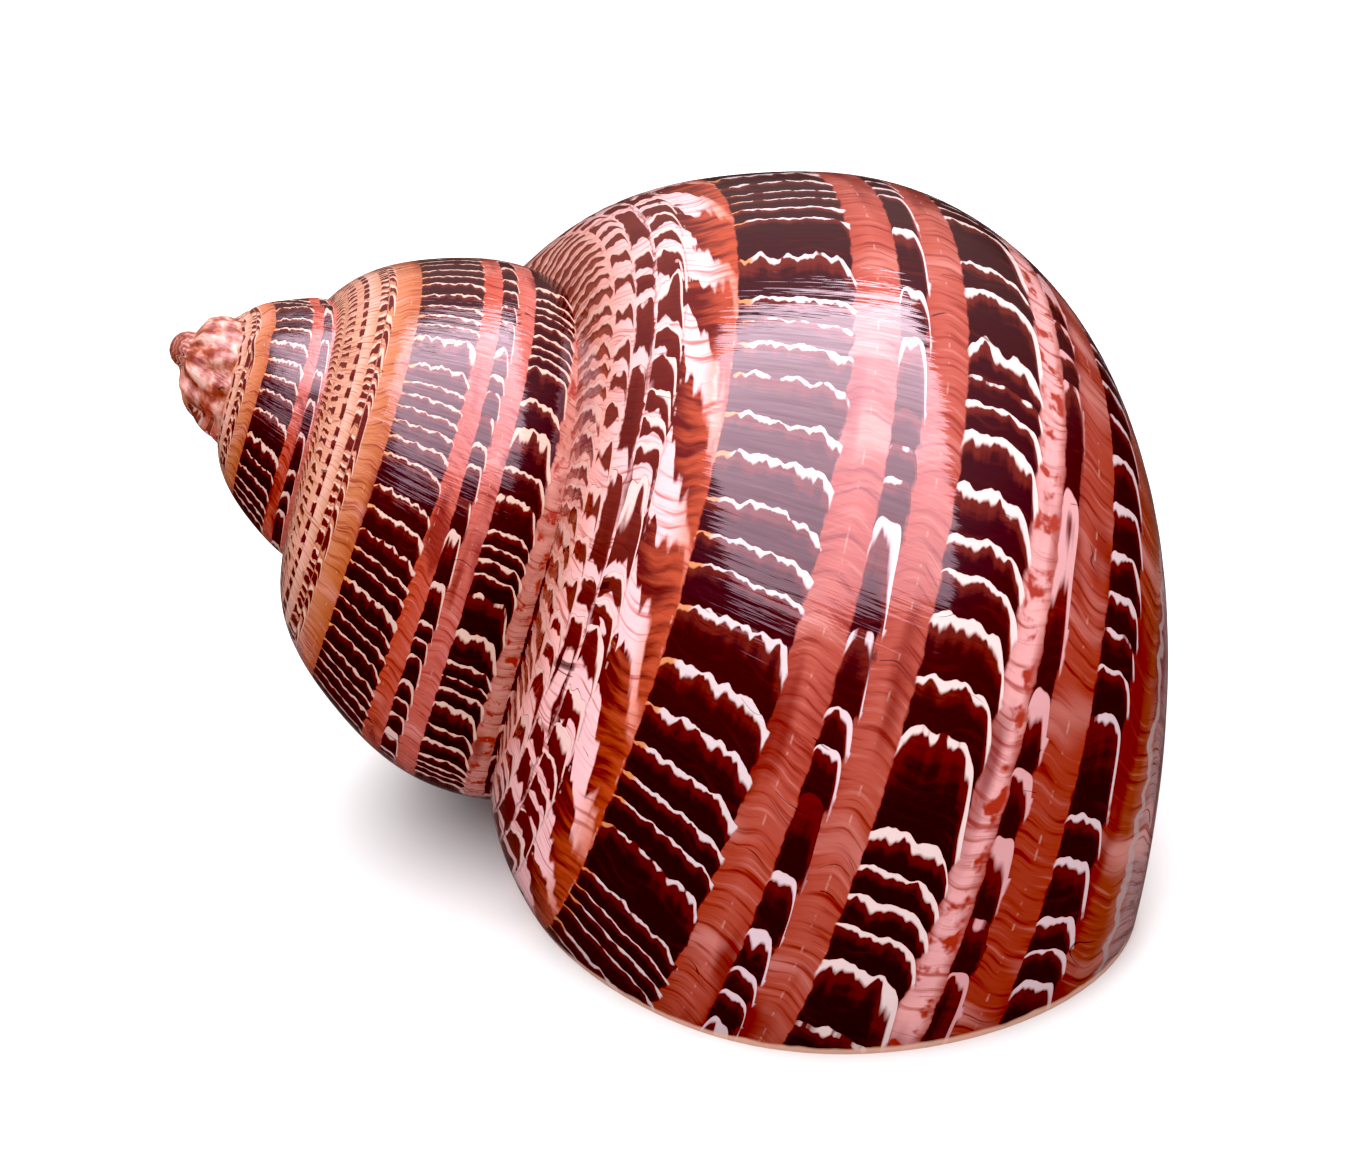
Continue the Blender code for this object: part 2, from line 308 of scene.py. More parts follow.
def polishedForm():
    made = coil()
    print("coil", len(made.data.polygons))
    chamber = tube("chamber", mouth["chamberStart"], mesh["end"] + 0.15, wallAt, mouth["fromAxis"],
                   mouth["rounding"], 1)
    joined(made, chamber, "DIFFERENCE")
    innerStart, innerEnd = mouth["chamberStart"] - turn - 0.3, mesh["end"] - turn + 0.1
    inner = tube("innerWhorl", innerStart, innerEnd, lambda _: 0.1, 0.2, 0, 1)
    joined(made, inner, "UNION")
    joined(made, pillarLoft(), "UNION")
    bpy.ops.mesh.primitive_cube_add(size=0.2, location=(0, 0, -0.1))
    joined(made, bpy.context.object, "DIFFERENCE")
    made.name = "shell_body"
    for layer in [layer for layer in made.data.uv_layers if layer.name != "spiral"]:
        made.data.uv_layers.remove(layer)
    roundRim(made, mouth["roundedEdge"] * mm)
    made.data.shade_smooth()
    made.data.set_sharp_from_angle(angle=math.radians(50))
    print("shell", len(made.data.polygons), [round(v / mm, 2) for v in made.dimensions])
    return made


shell = polishedForm()


def linear(code):  # sRGB hex to linear light
    parts = [int(code[i:i + 2], 16) / 255 for i in (1, 3, 5)]
    return [c / 12.92 if c <= 0.04045 else ((c + 0.055) / 1.055) ** 2.4 for c in parts] + [1.0]


# Adds a node with its settings and with links or values for its inputs in order. Gives its first output.
def node(tree, kind, *given, **settings):
    made = tree.nodes.new("ShaderNode" + kind)
    for name, value in settings.items():
        setattr(made, name, value)
    for socket, value in zip([socket for socket in made.inputs if socket.enabled], given):
        if isinstance(value, bpy.types.NodeSocket):
            tree.links.new(value, socket)
        elif value is not None:
            socket.default_value = linear(value) if isinstance(value, str) else value
    return next(socket for socket in made.outputs if socket.enabled)


# The tapestry is drawn in radians along the coil (towards the lip) and radians round the tube (towards the
# base); on the last whorl a radian is about 20 mm either way.
tapestry = {
    "olderWhorls": (-5.2, -6.6),        # the last whorl's colours turn to the older ones between these
    "youngest": -11.0,                  # before this the pattern is drawn larger for its whorl
    "earlyPace": 0.45, "span": (-1.6, 2.4),
    # Ground colours from the upper suture to the base.
    "lastWhorl": [
        (-1.6, "#8E564A"), (-1.4, "#AE7468"), (-1.29, "#C08882"), (-1.2, "#CE9C9C"), (-1.0, "#D8A6AA"),
        (-0.9, "#DEACB0"), (-0.84, "#C88478"), (-0.78, "#B8604C"), (-0.74, "#7C2C1C"), (-0.33, "#8A3829"),
        (-0.24, "#98463A"), (-0.1, "#8A372A"), (0.02, "#98483C"), (0.37, "#823122"), (0.405, "#C48A8A"),
        (0.46, "#C89090"), (0.5, "#86372A"), (0.63, "#88372A"), (0.86, "#80301F"), (0.98, "#7E3820"),
        (1.03, "#8A4E40"), (1.1, "#8E7070"), (1.3, "#8A625C"), (1.6, "#98786C"), (2.4, "#AC968A"),
    ],
    "earlierWhorls": [
        (-1.6, "#8A4E3A"), (-1.38, "#A87058"), (-1.14, "#B8826C"), (-1.08, "#C09484"), (-1.02, "#B07860"),
        (-0.86, "#A66444"), (-0.78, "#9C5634"), (-0.68, "#8E4226"), (-0.62, "#8E3C26"), (-0.25, "#9C402E"),
        (-0.06, "#A45044"), (0.1, "#A85850"), (0.36, "#A45A50"), (0.42, "#B07468"), (0.6, "#A06054"),
        (2.4, "#A06054"),
    ],
}
# Each row is made of cells: a white cap on the older end, brown behind it, then near black, or the ground
# again where the cell's fill ends. No two rows meet, so one set of nodes draws them all, with each row's
# own values from the place where its zone starts.
rows = {
    "eaves": {"from": -1.6, "low": -1.56, "high": -1.31, "count": 12.0, "cluster": 1.0, "ends": 0.015,
              "curl": 0.02, "wave": 0.03, "line": 0.34, "gaps": 0.1, "seed": 5.0, "drift": 0.0, "fill": 0.7,
              "cap": "#B48A80", "dark": "#6A2E20"},
    "scallops": {"from": -1.3, "low": -1.29, "high": -1.205, "count": 8.0, "cluster": 1.0, "ends": 0.022,
                 "curl": 0.01, "wave": 0.035, "line": 0.3, "gaps": 0.2, "seed": 17.0, "drift": 0.02,
                 "fill": 0.55, "cap": "#BC948E", "dark": "#5A2014"},
    "blotches": {"from": -1.2, "low": -1.19, "high": -1.12, "count": 4.6, "cluster": 1.0, "ends": 0.015,
                 "curl": 0.01, "wave": 0.05, "line": 0.16, "gaps": 0.5, "seed": 29.0, "drift": 0.05,
                 "fill": 0.66, "cap": "#C8A09C", "dark": "#4A1208"},
    "tiles": {"from": -1.113, "low": -1.105, "high": -1.0, "count": 9.0, "cluster": 1.6, "ends": 0.024,
              "curl": 0.012, "wave": 0.04, "line": 0.34, "gaps": 0.15, "seed": 43.0, "drift": 0.09,
              "fill": 0.72, "cap": "#CEAAA6", "dark": "#4E160C"},
    "shoulder": {"from": -0.9, "low": -0.785, "high": -0.334, "count": 11.5, "cluster": 1.9, "ends": 0.012,
                 "curl": 0.01, "wave": 0.018, "line": 0.21, "gaps": 0.12, "seed": 3.0, "drift": 0.06,
                 "fill": 1.2, "cap": "#BEADB0", "dark": "#260503"},
    "thread": {"from": -0.24, "low": -0.15, "high": -0.048, "count": 8.5, "cluster": 1.8, "ends": 0.02,
               "curl": 0.012, "wave": 0.015, "line": 0.28, "gaps": 0.25, "seed": 11.0, "drift": 0.015,
               "fill": 1.2, "cap": "#C3ACB2", "dark": "#280503"},
    "arches": {"from": 0.03, "low": 0.108, "high": 0.385, "count": 11.0, "cluster": 2.0, "ends": 0.014,
               "curl": 0.036, "wave": 0.018, "line": 0.3, "gaps": 0.16, "seed": 23.0, "drift": -0.01,
               "fill": 1.2, "cap": "#CAB4B2", "dark": "#260503"},
    "cord": {"from": 0.44, "low": 0.493, "high": 0.562, "count": 5.5, "cluster": 1.6, "ends": 0.014,
             "curl": 0.01, "wave": 0.016, "line": 0.34, "gaps": 0.3, "seed": 37.0, "drift": 0.0,
             "fill": 1.2, "cap": "#BC8A8C", "dark": "#2C0604"},
    "hem": {"from": 0.635, "low": 0.712, "high": 0.862, "count": 10.0, "cluster": 2.0, "ends": 0.016,
            "curl": 0.016, "wave": 0.016, "line": 0.28, "gaps": 0.2, "seed": 51.0, "drift": 0.0,
            "fill": 1.2, "cap": "#BAA4A8", "dark": "#280604"},
}
rowRanges = {  # a ramp holds these as shares of their range, three at a time
    "low": (-2, 1), "high": (-2, 1), "count": (0, 20), "cluster": (0, 3), "ends": (0, 0.1),
    "curl": (0, 0.1), "wave": (0, 0.05), "line": (0, 0.5), "gaps": (0, 0.5), "seed": (0, 60),
    "drift": (-0.1, 0.1), "fill": (0, 1.5),
}
# Noise on the tapestry: scale along and around, how far it reaches either way, its seed and its detail.
noises = {
    "wave": (1.0, 14.0, 1.0, 0.0, 1.6), "cluster": (1.0, 0, 1.0, 9.0, 1.0),
    "thick": (1.0, 0, 0.5, 0.0, 2.0), "bend": (4.0, 6.0, 0.02, 71.0, 1.0),
    "fine": (70.0, 3.0, 0.5, 5.0, 3.0), "broad": (7.0, 1.2, 0.5, 9.0, 2.0),
    "wander": (14.0, 10.0, 0.02, 29.0, 2.0), "slow": (1.9, 4.0, 0.5, 149.0, 2.5),
    "wisps": (16.0, 9.0, 0.5, 83.0, 3.0), "uneven": (3.0, 7.0, 0.9, 45.0, 2.0),
    "teeth": (9.0, 20.0, 0.04, 47.0, 2.5), "flames": (2.0, 5.0, 0.55, 61.0, 3.0),
    "fibres": (38.0, 5.0, 0.5, 67.0, 3.0), "beads": (38.0, 7.0, 0.5, 90.0, 3.0),
    "zigzag": (4.0, 0, 0.8, 95.0, 1.0), "frayed": (18.0, 18.0, 0.03, 97.0, 2.0),
    "mottle": (3.4, 2.6, 0.5, 127.0, 2.5), "rough": (24.0, 26.0, 0.011, 13.0, 2.0),
    "streaks": (55.0, 4.0, 0.5, 103.0, 3.0), "cracks": (9.0, 0.9, 0.5, 113.0, 1.0),
    "broken": (3.0, 5.0, 0.5, 119.0, 2.0), "rim": (9.0, 9.0, 0.0002, 131.0, 2.0),
    "growthLines": (60.0, 2.0, 0.5, 137.0, 3.0), "ripple": (8.0, 2.5, 0.5, 139.0, 2.0),
}
# Where each part of the pattern begins and ends its change, with its values there if they aren't 0 and 1.
edges = {
    "broad": (0.02, 0.3), "fineDeep": (0.0, 0.25), "finePale": (-0.06, -0.3), "mottled": (-18.2, -19.5),
    "maroon": (0.04, 0.2), "pastShoulder": (-0.8, -0.7), "drift": (-7.3, -14.6, 0.0, 0.15),
    "stripeFrom": (0.385, 0.4), "stripeTo": (0.475, 0.5, 1.0, 0.0), "wisps": (0.02, 0.14),
    "flameWidth": (-1.08, -0.78, 0.13, 0.33), "flameSoftness": (-0.95, -0.78, 0.03, 0.2),
    "flamesFrom": (-1.13, -1.08), "flamesTo": (-0.735, -0.72, 1.0, 0.0), "flameLight": (-2.0, -1.45),
    "line": (0.002, 0.006, 1.0, 0.0), "beads": (0.05, 0.18), "beadLine": (0.002, 0.005),
    "zigzagFrom": (1.01, 1.02), "zigzagTo": (1.04, 1.055, 1.0, 0.0), "crack": (0.001, 0.006, 1.0, 0.0),
    "broken": (0.08, 0.14), "rim": (0.0003, 0.0006, 1.0, 0.0), "quicker": (-0.95, -0.96, 0.0, 6.0),
    "capByPlace": (-0.2, 0.2, 0.25, 1.3), "capByChance": (0.0, 1.0, 0.6, 1.3), "kept": (-0.2, -0.08),
    "capFrom": (0.0, 0.02), "rust": (0.0, 0.9), "brown": (0.1, 0.3), "fringeFrom": (-0.85, -0.8),
    "fringeTo": (-0.715, -0.745),
}
hues = {
    "brown": "#3C0E06", "rust": "#581A0E", "pale": "#D89C96", "deep": "#BE8478", "maroon": "#601208",
    "wisps": "#8E3428", "flameDark": "#4E1008", "flameLight": "#9C4028", "line": "#3A1410",
    "beads": "#C8A89C", "zigzag": "#9A8C8C", "crack": "#1A0504", "fringe": "#B8764E",
    "olderCaps": "#BC9070", "wornRim": "#E8B9A4",
}
mottling = [(-0.5, "#4A140A"), (-0.1, "#7A3422"), (0.02, "#A0604E"), (0.14, "#C09488"), (0.5, "#C8A49A")]
darkLines = ((-1.113, 0.5), (-0.99, 0.3))       # where round the tube, and how strong
beadLines = ((-0.975, 0.5), (-0.79, 0.3), (-0.235, 0.25), (0.035, 0.25), (0.445, 0.35), (0.64, 0.25))
# What the cells of the dark rows share: how their ends and curl steepen, and how cap, brown and swelling
# lie in a cell.
cells = {
    "endsPower": 6.0, "endsLimit": 1.25, "curlPower": 8.0, "curlLimit": 1.1, "wavePace": 5.0,
    "clusterPace": 2.1, "quickerFrom": 5.6, "thickPace": 15.0, "thickStep": 37.3, "capAtCurl": 0.8,
    "capCore": 0.62, "brownDepth": 0.4, "fillFray": 0.5, "fillEdge": 0.07, "swellSlope": -0.02,
    "swell": 0.012, "upperEdge": 0.009, "lowerEdge": 0.005, "brownShare": 0.75, "streakShare": 0.9,
    "olderShare": 0.5,
}
waves = {"sagPitch": 0.27, "sagStart": 0.24, "sag": 0.013, "teethPitch": 24.0, "teeth": 0.05,
         "flameCount": 3.0, "flameSweep": -1.1, "zigzagPace": 10.0, "zigzag": -0.06}
shares = {"pale": 0.4, "fineDeep": 0.9, "finePale": 0.5, "maroon": 0.75, "zigzag": 0.7, "crack": 0.8,
          "rim": 0.8}
reliefs = {"growthLines": 0.00003, "ripple": 0.00006}      # in metres
pearl = {
    "driftScale": 140.0, "distortion": 1.2, "sheetScale": 900.0, "bump": 0.15, "sheetHeight": 0.0002,
    "drifts": [(0.0, "#DDE6DA"), (0.42, "#EFE9DC"), (0.5, "#F3E2E0"), (0.6, "#E3E8E4"), (1.0, "#EADDE6")],
}
# Settings that many nodes share.
smooth = {"interpolation_type": "SMOOTHSTEP"}
times = {"operation": "MULTIPLY"}
plus = {"operation": "ADD"}
timesPlus = {"operation": "MULTIPLY_ADD"}
colours = {"data_type": "RGBA"}


def warped(tree, along, around, name):  # noise on the tapestry, centred on zero
    scaleAlong, scaleAround, amount, seed, detail = noises[name]
    x = node(tree, "Math", along, scaleAlong, seed, **timesPlus)
    if scaleAround:
        place = node(tree, "CombineXYZ", x, node(tree, "Math", around, scaleAround, **times))
        noise = node(tree, "TexNoise", place, 1.0, detail, 0.55, noise_dimensions="2D")
    else:
        noise = node(tree, "TexNoise", x, 1.0, detail, noise_dimensions="1D")
    return node(tree, "Math", noise, 2 * amount, -amount, **timesPlus)


def bands(tree, value, stops, span, steps="LINEAR"):  # colours by value, from stops within a span
    colour = node(tree, "ValToRGB", node(tree, "MapRange", value, *span))
    ramp = colour.node.color_ramp
    ramp.interpolation = steps
    while len(ramp.elements) < len(stops):
        ramp.elements.new(0.5)
    for element, (at, hue) in zip(ramp.elements, stops):
        element.position = (at - span[0]) / (span[1] - span[0])
        element.color = linear(hue) if isinstance(hue, str) else hue
    return colour


def rowValues(tree, place):  # each row's own values, at this place
    values, names = {}, list(rowRanges)
    for i in range(0, len(names), 3):
        trio = names[i:i + 3]
        stops = []
        for row in rows.values():
            ranges = [rowRanges[name] for name in trio]
            parts = [(row[name] - low) / (high - low) for name, (low, high) in zip(trio, ranges)]
            stops.append((row["from"], parts + [1]))
        packed = bands(tree, place, stops, tapestry["span"], "CONSTANT")
        for name, part in zip(trio, node(tree, "SeparateXYZ", packed).node.outputs):
            low, high = rowRanges[name]
            values[name] = node(tree, "Math", part, high - low, low, **timesPlus)
    return values


# The place within each cell, the cell's number, and the curl of its cap.
def rowCells(tree, along, place, around, row):
    across = node(tree, "MapRange", around, row["low"], row["high"], clamp=False)
    fromMiddle = node(tree, "Math", node(tree, "Math", across, 2.0, -1.0, **timesPlus),
                      operation="ABSOLUTE")
    off = node(tree, "Math", fromMiddle, cells["endsLimit"], operation="MINIMUM")
    ends = node(tree, "Math", node(tree, "Math", off, cells["endsPower"], operation="POWER"), row["ends"],
                **times)
    below = node(tree, "Math", node(tree, "Math", across, 0.0, operation="MAXIMUM"), cells["curlLimit"],
                 operation="MINIMUM")
    curl = node(tree, "Math", below, cells["curlPower"], operation="POWER")
    wave = warped(tree, node(tree, "Math", along, cells["wavePace"], row["seed"], **timesPlus), around,
                  "wave")
    cluster = warped(tree, node(tree, "Math", along, cells["clusterPace"], row["seed"], **timesPlus),
                     around,
                     "cluster")
    bent = node(tree, "Math", curl, row["curl"], ends, **timesPlus)
    waved = node(tree, "Math", wave, row["wave"], along, **timesPlus)
    shifted = node(tree, "Math", waved, bent, operation="SUBTRACT")
    beyond = node(tree, "Math", node(tree, "Math", along, cells["quickerFrom"], **plus), 0.0,
                  operation="MINIMUM")
    quicker = node(tree, "Math", beyond, node(tree, "MapRange", place, *edges["quicker"], **smooth),
                   **times)
    clustered = node(tree, "Math", cluster, row["cluster"], quicker, **timesPlus)
    cell = node(tree, "Math", shifted, row["count"], clustered, **timesPlus)
    inCell = node(tree, "Math", cell, operation="FRACT")
    return inCell, node(tree, "Math", cell, operation="FLOOR"), curl


def darkRows(tree, along, place, older, rough, streaks):  # where the dark rows are, and their colour
    row = rowValues(tree, place)
    around = node(tree, "Math", place, node(tree, "Math", older, row["drift"], **times),
                  operation="SUBTRACT")
    inCell, number, curl = rowCells(tree, along, place, around, row)
    numbered = node(tree, "Math", number, row["seed"], **plus)
    chance = node(tree, "TexWhiteNoise", numbered, noise_dimensions="1D")

    # The cap's depth changes from cell to cell and along each cap, and some cells lack it for a stretch.
    step = node(tree, "Math", number, cells["thickStep"], **times)
    thick = warped(tree, node(tree, "Math", around, cells["thickPace"], step, **timesPlus), around, "thick")
    depth = node(tree, "Math", node(tree, "MapRange", thick, *edges["capByPlace"]),
                 node(tree, "MapRange", chance, *edges["capByChance"]), **times)
    depth = node(tree, "Math", depth, row["line"], **times)
    depth = node(tree, "Math", depth, node(tree, "Math", curl, cells["capAtCurl"], 1.0, **timesPlus),
                 **times)
    kept = node(tree, "Math", node(tree, "Math", chance, thick, **plus), row["gaps"], operation="SUBTRACT")
    core = node(tree, "Math", depth, cells["capCore"], **times)
    cap = node(tree, "Math", node(tree, "MapRange", inCell, core, depth, 1.0, 0.0, **smooth),
               node(tree, "MapRange", kept, *edges["kept"], **smooth), **times)
    cap = node(tree, "Math", cap, node(tree, "MapRange", inCell, *edges["capFrom"], **smooth), **times)
    behind = node(tree, "Math", depth, cells["brownDepth"], **plus)
    brown = node(tree, "MapRange", inCell, depth, behind, 1.0, 0.0, **smooth)
    frayed = node(tree, "Math", thick, cells["fillFray"], inCell, **timesPlus)
    filledTo = node(tree, "Math", row["fill"], cells["fillEdge"], **plus)
    filled = node(tree, "MapRange", frayed, row["fill"], filledTo, 1.0, 0.0, **smooth)

    # Each cell swells past the row's edges behind its cap.
    reach = node(tree, "Math", around, rough, **plus)
    swelling = node(tree, "Math", inCell, cells["swellSlope"], cells["swell"], **timesPlus)
    upTo = node(tree, "Math", swelling, row["high"], **plus)
    after = node(tree, "MapRange", reach, upTo, node(tree, "Math", upTo, cells["upperEdge"], **plus), 1.0,
                 0.0, **smooth)
    before = node(tree, "MapRange", reach, node(tree, "Math", row["low"], -cells["lowerEdge"], **plus),
                  node(tree, "Math", row["low"], cells["lowerEdge"], **plus), **smooth)
    inside = node(tree, "Math", node(tree, "Math", before, after, **times), filled, **times)

    dark, white = (
        bands(tree, place, [(row["from"], row[part]) for row in rows.values()], tapestry["span"],
              "CONSTANT")
        for part in ("dark", "cap")
    )
    streaked = node(tree, "Math", brown, cells["brownShare"],
                    node(tree, "Math", streaks, cells["streakShare"], **times), **timesPlus)
    dark = node(tree, "Mix", node(tree, "MapRange", streaked, *edges["rust"], **smooth), dark,
                hues["rust"], **colours)
    dark = node(tree, "Mix", node(tree, "MapRange", streaks, *edges["brown"], **smooth), dark,
                hues["brown"], **colours)
    fringe = node(tree, "Math", node(tree, "MapRange", around, *edges["fringeTo"], **smooth),
                  node(tree, "MapRange", around, *edges["fringeFrom"], **smooth), **times)
    white = node(tree, "Mix", fringe, white, hues["fringe"], **colours)
    white = node(tree, "Mix", node(tree, "Math", older, cells["olderShare"], **times), white,
                 hues["olderCaps"], **colours)
    return inside, node(tree, "Mix", cap, dark, white, **colours)


def groundColour(tree, place, wander, grown, older):  # bands, lighter and darker along the growth lines
    fine, broad = (warped(tree, grown, place, name) for name in ("fine", "broad"))
    last, earlier = (
        bands(tree, wander, tapestry[name], tapestry["span"]) for name in ("lastWhorl", "earlierWhorls")
    )
    ground = node(tree, "Mix", older, last, earlier, **colours)
    pale = node(tree, "Mix", shares["pale"], ground, hues["pale"], **colours)
    ground = node(tree, "Mix", node(tree, "MapRange", broad, *edges["broad"], **smooth), ground, pale,
                  **colours)
    deep = node(tree, "Mix", 1.0, ground, hues["deep"], blend_type="MULTIPLY", **colours)
    for name, colour in (("fineDeep", deep), ("finePale", pale)):
        share = node(tree, "Math", node(tree, "MapRange", fine, *edges[name], **smooth), shares[name],
                     **times)
        ground = node(tree, "Mix", share, ground, colour, **colours)

    # Maroon stretches, clear of the pale shoulder.
    maroon = node(tree, "Math",
                  node(tree, "MapRange", warped(tree, grown, place, "slow"), *edges["maroon"], **smooth),
                  node(tree, "MapRange", place, *edges["pastShoulder"], **smooth), **times)
    ground = node(tree, "Mix", node(tree, "Math", maroon, shares["maroon"], **times), ground,
                  hues["maroon"], **colours)

    # Red wisps over the pale stripe between the arches and the cord.
    stripe = node(tree, "Math", node(tree, "MapRange", wander, *edges["stripeFrom"], **smooth),
                  node(tree, "MapRange", wander, *edges["stripeTo"], **smooth), **times)
    wisps = node(tree, "MapRange", warped(tree, grown, place, "wisps"), *edges["wisps"], **smooth)
    return node(tree, "Mix", node(tree, "Math", stripe, wisps, **times), ground, hues["wisps"], **colours)


def withFlames(tree, ground, paced, place, wander, grown, older):  # red-brown, sweeping towards the lip
    pitch = node(tree, "Math", place, waves["teethPitch"], warped(tree, paced, place, "uneven"),
                 **timesPlus)
    zag = node(tree, "Math", pitch, 0.5, operation="PINGPONG")
    teeth = node(tree, "Math", zag, waves["teeth"], warped(tree, paced, place, "teeth"), **timesPlus)
    sweep = node(tree, "Math", node(tree, "Math", place, 1.0, **plus), waves["flameSweep"], **times)
    swept = node(tree, "Math", node(tree, "Math", paced, teeth, **plus), sweep, **plus)
    flames = node(tree, "Math", swept, waves["flameCount"], warped(tree, paced, place, "flames"),
                  **timesPlus)
    middle = node(tree, "Math", node(tree, "Math", flames, operation="FRACT"), 0.5, operation="SUBTRACT")
    widen = node(tree, "MapRange", place, *edges["flameWidth"])
    soften = node(tree, "Math", widen, node(tree, "MapRange", place, *edges["flameSoftness"]), **plus)
    share = node(tree, "MapRange", node(tree, "Math", middle, operation="ABSOLUTE"), widen, soften, 1.0,
                 0.0, **smooth)
    share = node(tree, "Math", share, node(tree, "MapRange", wander, *edges["flamesFrom"], **smooth),
                 **times)
    share = node(tree, "Math", share, node(tree, "MapRange", place, *edges["flamesTo"], **smooth), **times)
    share = node(tree, "Math", share, node(tree, "Math", 1.0, older, operation="SUBTRACT"), **times)
    lighter = node(tree, "Math", place, 2.0, warped(tree, grown, place, "fibres"), **timesPlus)
    colour = node(tree, "Mix", node(tree, "MapRange", lighter, *edges["flameLight"], **smooth),
                  hues["flameDark"], hues["flameLight"], **colours)
    return node(tree, "Mix", share, ground, colour, **colours)


def withLines(tree, ground, paced, place, wander):
    # Thin dark spiral lines, and dotted white ones.
    for at, strength in darkLines:
        away = node(tree, "Math", node(tree, "Math", wander, at, operation="SUBTRACT"),
                    operation="ABSOLUTE")
        share = node(tree, "Math", node(tree, "MapRange", away, *edges["line"], **smooth), strength,
                     **times)
        ground = node(tree, "Mix", share, ground, hues["line"], **colours)
    nearLine = 0.0
    for at, strength in beadLines:
        away = node(tree, "Math", node(tree, "Math", place, at, operation="SUBTRACT"), operation="ABSOLUTE")
        near = node(tree, "MapRange", away, *edges["beadLine"], strength, 0.0, **smooth)
        nearLine = node(tree, "Math", near, nearLine, **plus)
    beads = node(tree, "MapRange", warped(tree, paced, place, "beads"), *edges["beads"], **smooth)
    ground = node(tree, "Mix", node(tree, "Math", beads, nearLine, **times), ground, hues["beads"],
                  **colours)

    # The grey zigzag at the edge of the base.
    pitch = node(tree, "Math", paced, waves["zigzagPace"], warped(tree, paced, place, "zigzag"),
                 **timesPlus)
    zag = node(tree, "Math", pitch, 0.5, operation="PINGPONG")
    zigzag = node(tree, "Math", zag, waves["zigzag"], place, **timesPlus)
    zigzag = node(tree, "Math", zigzag, warped(tree, paced, place, "frayed"), **plus)
    share = node(tree, "Math", node(tree, "MapRange", zigzag, *edges["zigzagFrom"], **smooth),
                 node(tree, "MapRange", zigzag, *edges["zigzagTo"], **smooth), **times)
    return node(tree, "Mix", node(tree, "Math", share, shares["zigzag"], **times), ground, hues["zigzag"],
                **colours)


def tapestryColour(tree, along, around):
    older = node(tree, "MapRange", along, *tapestry["olderWhorls"], **smooth)
    late = node(tree, "Math", along, tapestry["youngest"], operation="MAXIMUM")
    early = node(tree, "Math", node(tree, "Math", along, tapestry["youngest"], operation="SUBTRACT"), 0.0,
                 operation="MINIMUM")
    paced = node(tree, "Math", early, tapestry["earlyPace"], late, **timesPlus)
    place = node(tree, "Math", around, node(tree, "MapRange", along, *edges["drift"]), **plus)

    # Growth lines sag between the dark rows, and the edges of the bands wander a little.
    phase = node(tree, "Math", place, turn / waves["sagPitch"],
                 waves["sagStart"] * turn / waves["sagPitch"], **timesPlus)
    sag = node(tree, "Math", node(tree, "Math", phase, operation="COSINE"), waves["sag"], paced,
               **timesPlus)
    grown = node(tree, "Math", sag, warped(tree, paced, place, "bend"), **plus)
    wander = node(tree, "Math", place, warped(tree, paced, place, "wander"), **plus)
    ground = groundColour(tree, place, wander, grown, older)
    ground = withFlames(tree, ground, paced, place, wander, grown, older)
    ground = withLines(tree, ground, paced, place, wander)

    # The dark rows, which the oldest whorls at the tip don't have yet: those are mottled.
    tip = node(tree, "MapRange", along, *edges["mottled"], **smooth)
    mottle = bands(tree, warped(tree, along, place, "mottle"), mottling, (-0.5, 0.5))
    ground = node(tree, "Mix", tip, ground, mottle, **colours)
    rough = warped(tree, paced, place, "rough")
    streaks = warped(tree, grown, place, "streaks")
    inside, rowColour = darkRows(tree, paced, place, older, rough, streaks)
    share = node(tree, "Math", inside, node(tree, "Math", 1.0, tip, operation="SUBTRACT"), **times)
    colour = node(tree, "Mix", share, ground, rowColour, **colours)

    # Hairline cracks along the growth lines.
    crack = node(tree, "Math", warped(tree, grown, place, "cracks"), operation="ABSOLUTE")
    broken = node(tree, "MapRange", warped(tree, paced, place, "broken"), *edges["broken"], **smooth)
    share = node(tree, "Math", node(tree, "MapRange", crack, *edges["crack"], **smooth), broken, **times)
    return node(tree, "Mix", node(tree, "Math", share, shares["crack"], **times), colour, hues["crack"],
                **colours)


def polishedShell():
    # Aragonite worn smooth and polished: clear reflections over deep colour, broken by faint growth lines.
    made = bpy.data.materials.new("polished_shell")
    made.use_nodes = True
    tree = made.node_tree
    surface = tree.nodes["Principled BSDF"]
    surface.inputs["Roughness"].default_value = 0.06
    surface.inputs["IOR"].default_value = 1.63
    surface.inputs["Specular Tint"].default_value = (1.0, 0.72, 0.88, 1.0)     # the top layer's lilac sheen
    turns, around, _ = node(tree, "SeparateXYZ", node(tree, "UVMap", uv_map="spiral")).node.outputs
    along = node(tree, "Math", turns, turn, **times)
    colour = tapestryColour(tree, along, around)

    # The rim is worn to cream.
    position = node(tree, "TexCoord").node.outputs["Object"]
    height = node(tree, "SeparateXYZ", position).node.outputs["Z"]
    rim = node(tree, "Math", height, warped(tree, along, around, "rim"), **plus)
    worn = node(tree, "Math", node(tree, "MapRange", rim, *edges["rim"], **smooth), shares["rim"], **times)
    tree.links.new(node(tree, "Mix", worn, colour, hues["wornRim"], **colours),
                   surface.inputs["Base Color"])

    # Growth lines about 0.3 mm apart, and a slow ripple about 3 mm long that frays the reflections.
    ripple = node(tree, "Math", warped(tree, along, around, "ripple"), reliefs["ripple"], **times)
    relief = node(tree, "Math", warped(tree, along, around, "growthLines"), reliefs["growthLines"], ripple,
                  **timesPlus)
    tree.links.new(node(tree, "Bump", 1.0, 1.0, None, relief), surface.inputs["Normal"])
    return made


